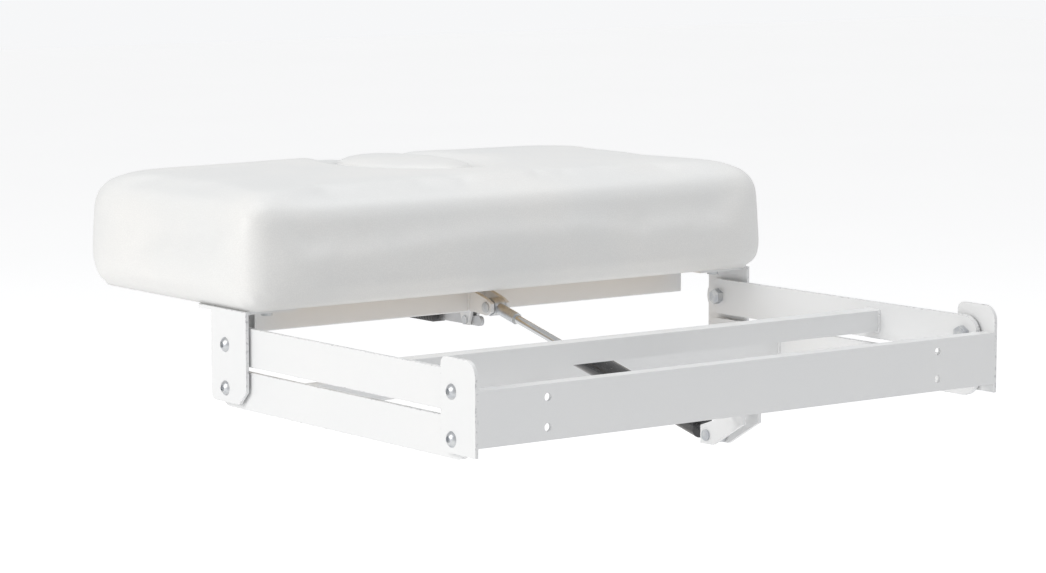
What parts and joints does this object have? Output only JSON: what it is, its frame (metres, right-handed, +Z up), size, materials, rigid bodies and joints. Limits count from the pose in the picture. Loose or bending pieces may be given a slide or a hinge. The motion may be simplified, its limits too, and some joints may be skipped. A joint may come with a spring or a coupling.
{
  "type": "face cradle cushion",
  "caption": "Padded full-width head section of a treatment bed with an oval breathing hole and lift-out plug, on a steel parallelogram arm with a gas spring.",
  "frame": {"origin": "centre of the bolt pattern on the face of the channel that meets the bed", "axes": "+X across the bed, +Y from the bed towards the free end of the head section, +Z up"},
  "size_m": [0.78, 0.83, 0.279],
  "materials": {
    "white_leatherette": "satin",
    "foam": "matte",
    "plywood": "matte",
    "white_powder_coat": "satin",
    "zinc_plated_steel": "satin",
    "black_enamel": "gloss",
    "chromed_rod": "polished",
    "bush_plastic": "matte",
    "black_rubber": "matte",
    "grip_plastic": "satin"
  },
  "bodies": {
    "bed_bracket": {"mount_channel": "white_powder_coat", "bed_plate_left": "white_powder_coat", "bed_plate_right": "white_powder_coat", "rear_pivot_bolts": "zinc_plated_steel", "rear_pivot_nuts": "zinc_plated_steel", "gas_spring_lug": "white_powder_coat", "gas_spring_rear_pin": "zinc_plated_steel"},
    "upper_links": {"upper_link_left": "white_powder_coat", "upper_link_right": "white_powder_coat", "upper_cross_tube": "white_powder_coat", "upper_link_bushes": "bush_plastic"},
    "lower_links": {"lower_link_left": "white_powder_coat", "lower_link_right": "white_powder_coat", "lower_cross_tube": "white_powder_coat", "lower_link_bushes": "bush_plastic"},
    "head_section": {"foam_core": "foam", "base_board": "plywood", "cushion_cover": "white_leatherette", "head_plate_left": "white_powder_coat", "head_plate_right": "white_powder_coat", "yoke_tube": "white_powder_coat", "flange_pad_left": "black_rubber", "flange_pad_right": "black_rubber", "cushion_screws": "zinc_plated_steel", "tee_nuts": "zinc_plated_steel", "front_pivot_bolts": "zinc_plated_steel", "front_pivot_nuts": "zinc_plated_steel", "gas_spring_clevis": "white_powder_coat", "gas_spring_front_pin": "zinc_plated_steel", "lever_bracket": "white_powder_coat", "lever_pin": "zinc_plated_steel"},
    "gas_cylinder": {"gas_spring_cylinder": "black_enamel", "gas_spring_rear_eye": "zinc_plated_steel", "gas_spring_rod_guide": "bush_plastic"},
    "gas_rod": {"gas_spring_rod": "chromed_rod", "gas_spring_release_head": "zinc_plated_steel"},
    "lever": {"release_lever": "zinc_plated_steel", "lever_grip": "grip_plastic"},
    "plug": {"plug_cover": "white_leatherette", "plug_foam": "foam", "plug_board": "plywood"}
  },
  "joints": [
    {"name": "lift", "type": "hinge", "parent": "bed_bracket", "child": "upper_links", "pos_m": [0, 0.042, 0.025], "axis": [1, 0, 0], "range_deg": [-17, 0]},
    {"name": "lower_link_turn", "type": "hinge", "parent": "bed_bracket", "child": "lower_links", "pos_m": [0, 0.042, -0.025], "axis": [1, 0, 0], "range_deg": [-17, 0]},
    {"name": "head_level", "type": "hinge", "parent": "upper_links", "child": "head_section", "pos_m": [0, 0.482, 0.025], "axis": [1, 0, 0], "range_deg": [0, 17]},
    {"name": "spring_swing", "type": "hinge", "parent": "bed_bracket", "child": "gas_cylinder", "pos_m": [0, 0.06, -0.059], "axis": [1, 0, 0], "range_deg": [-17.79, 0]},
    {"name": "spring_stroke", "type": "slide", "parent": "gas_cylinder", "child": "gas_rod", "axis": [0, 0.9715, 0.237], "range_m": [-0.0305, 0]},
    {"name": "release_press", "type": "hinge", "parent": "head_section", "child": "lever", "pos_m": [0, 0.522, 0.02], "axis": [1, 0, 0], "range_deg": [0, 12], "stiffness_Nm_per_rad": 2.5, "springref_deg": -5.73},
    {"name": "plug_out", "type": "slide", "parent": "head_section", "child": "plug", "axis": [0, 0, 1], "range_m": [0, 0.1]}
  ],
  "couplings": [
    {"joint": "lower_link_turn", "follows": "lift", "ratio": 1},
    {"joint": "head_level", "follows": "lift", "ratio": -1},
    {"joint": "spring_swing", "follows": "lift", "ratio": 1.046},
    {"joint": "spring_stroke", "follows": "lift", "m_per_rad": 0.1025}
  ]
}
